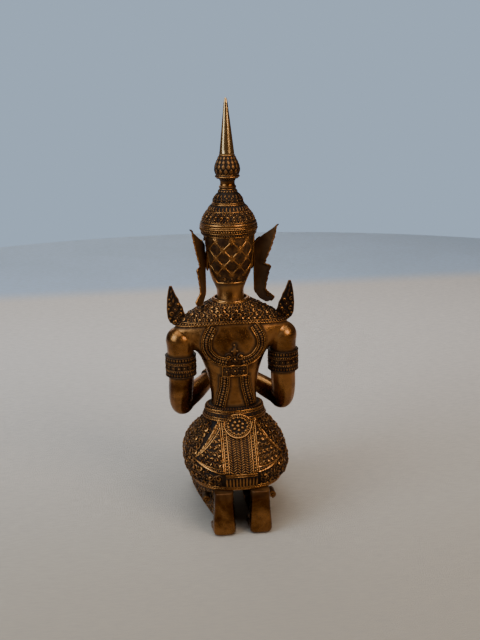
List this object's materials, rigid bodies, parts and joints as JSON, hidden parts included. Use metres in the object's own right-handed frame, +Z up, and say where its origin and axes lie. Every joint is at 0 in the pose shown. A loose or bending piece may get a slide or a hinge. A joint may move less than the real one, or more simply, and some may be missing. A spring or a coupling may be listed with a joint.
{
  "type": "kneeling praying deity statue",
  "caption": "Kneeling brass figure with hands pressed together, tall pointed tiered crown, wing ear ornaments, flame shoulder ornaments and ornate skirt.",
  "frame": {"origin": "on the floor, midway between the fronts of the knees and the soles of the feet, on the middle line of the figure", "axes": "+Z up along the body; -Y the way the figure faces; +X the figure's left"},
  "size_m": [0.1084, 0.1158, 0.331],
  "materials": {
    "plain_brass": "aged, semi-polished",
    "relief_brass": "aged, dark in the recesses of the relief",
    "pin_brass": "satin",
    "steel": "dull"
  },
  "bodies": {
    "root": {"lap_casting": "relief_brass", "left_folded_leg": "relief_brass", "right_folded_leg": "relief_brass", "left_foot": "plain_brass", "right_foot": "plain_brass", "left_cuff": "relief_brass", "right_cuff": "relief_brass", "waist_belt": "relief_brass", "belt_boss": "relief_brass", "back_apron": "relief_brass", "back_fringe": "relief_brass", "front_apron": "relief_brass", "left_hip_petal": "relief_brass", "right_hip_petal": "relief_brass", "torso_casting": "plain_brass", "collar": "relief_brass", "back_sash": "relief_brass", "sash_boss": "relief_brass", "front_sash": "relief_brass", "chest_pendant": "relief_brass", "left_arm": "plain_brass", "right_arm": "plain_brass", "left_armband": "relief_brass", "right_armband": "relief_brass", "left_bracelet": "relief_brass", "right_bracelet": "relief_brass", "left_hand": "plain_brass", "right_hand": "plain_brass", "left_shoulder_flame": "relief_brass", "right_shoulder_flame": "relief_brass", "head_casting": "plain_brass", "hair_net": "relief_brass", "diadem": "relief_brass", "left_ear_wing": "plain_brass", "right_ear_wing": "plain_brass", "crown_brim": "relief_brass", "crown_dome": "relief_brass", "crown_cone": "relief_brass", "crown_stem": "plain_brass", "lotus_bud": "relief_brass", "spire": "plain_brass", "crown_rod": "steel", "crown_nut": "steel", "neck_pins": "pin_brass", "waist_pins": "pin_brass", "shoulder_dowels": "pin_brass", "wrist_dowels": "pin_brass", "foot_dowels": "pin_brass", "flame_rivets": "pin_brass"}
  },
  "joints": []
}
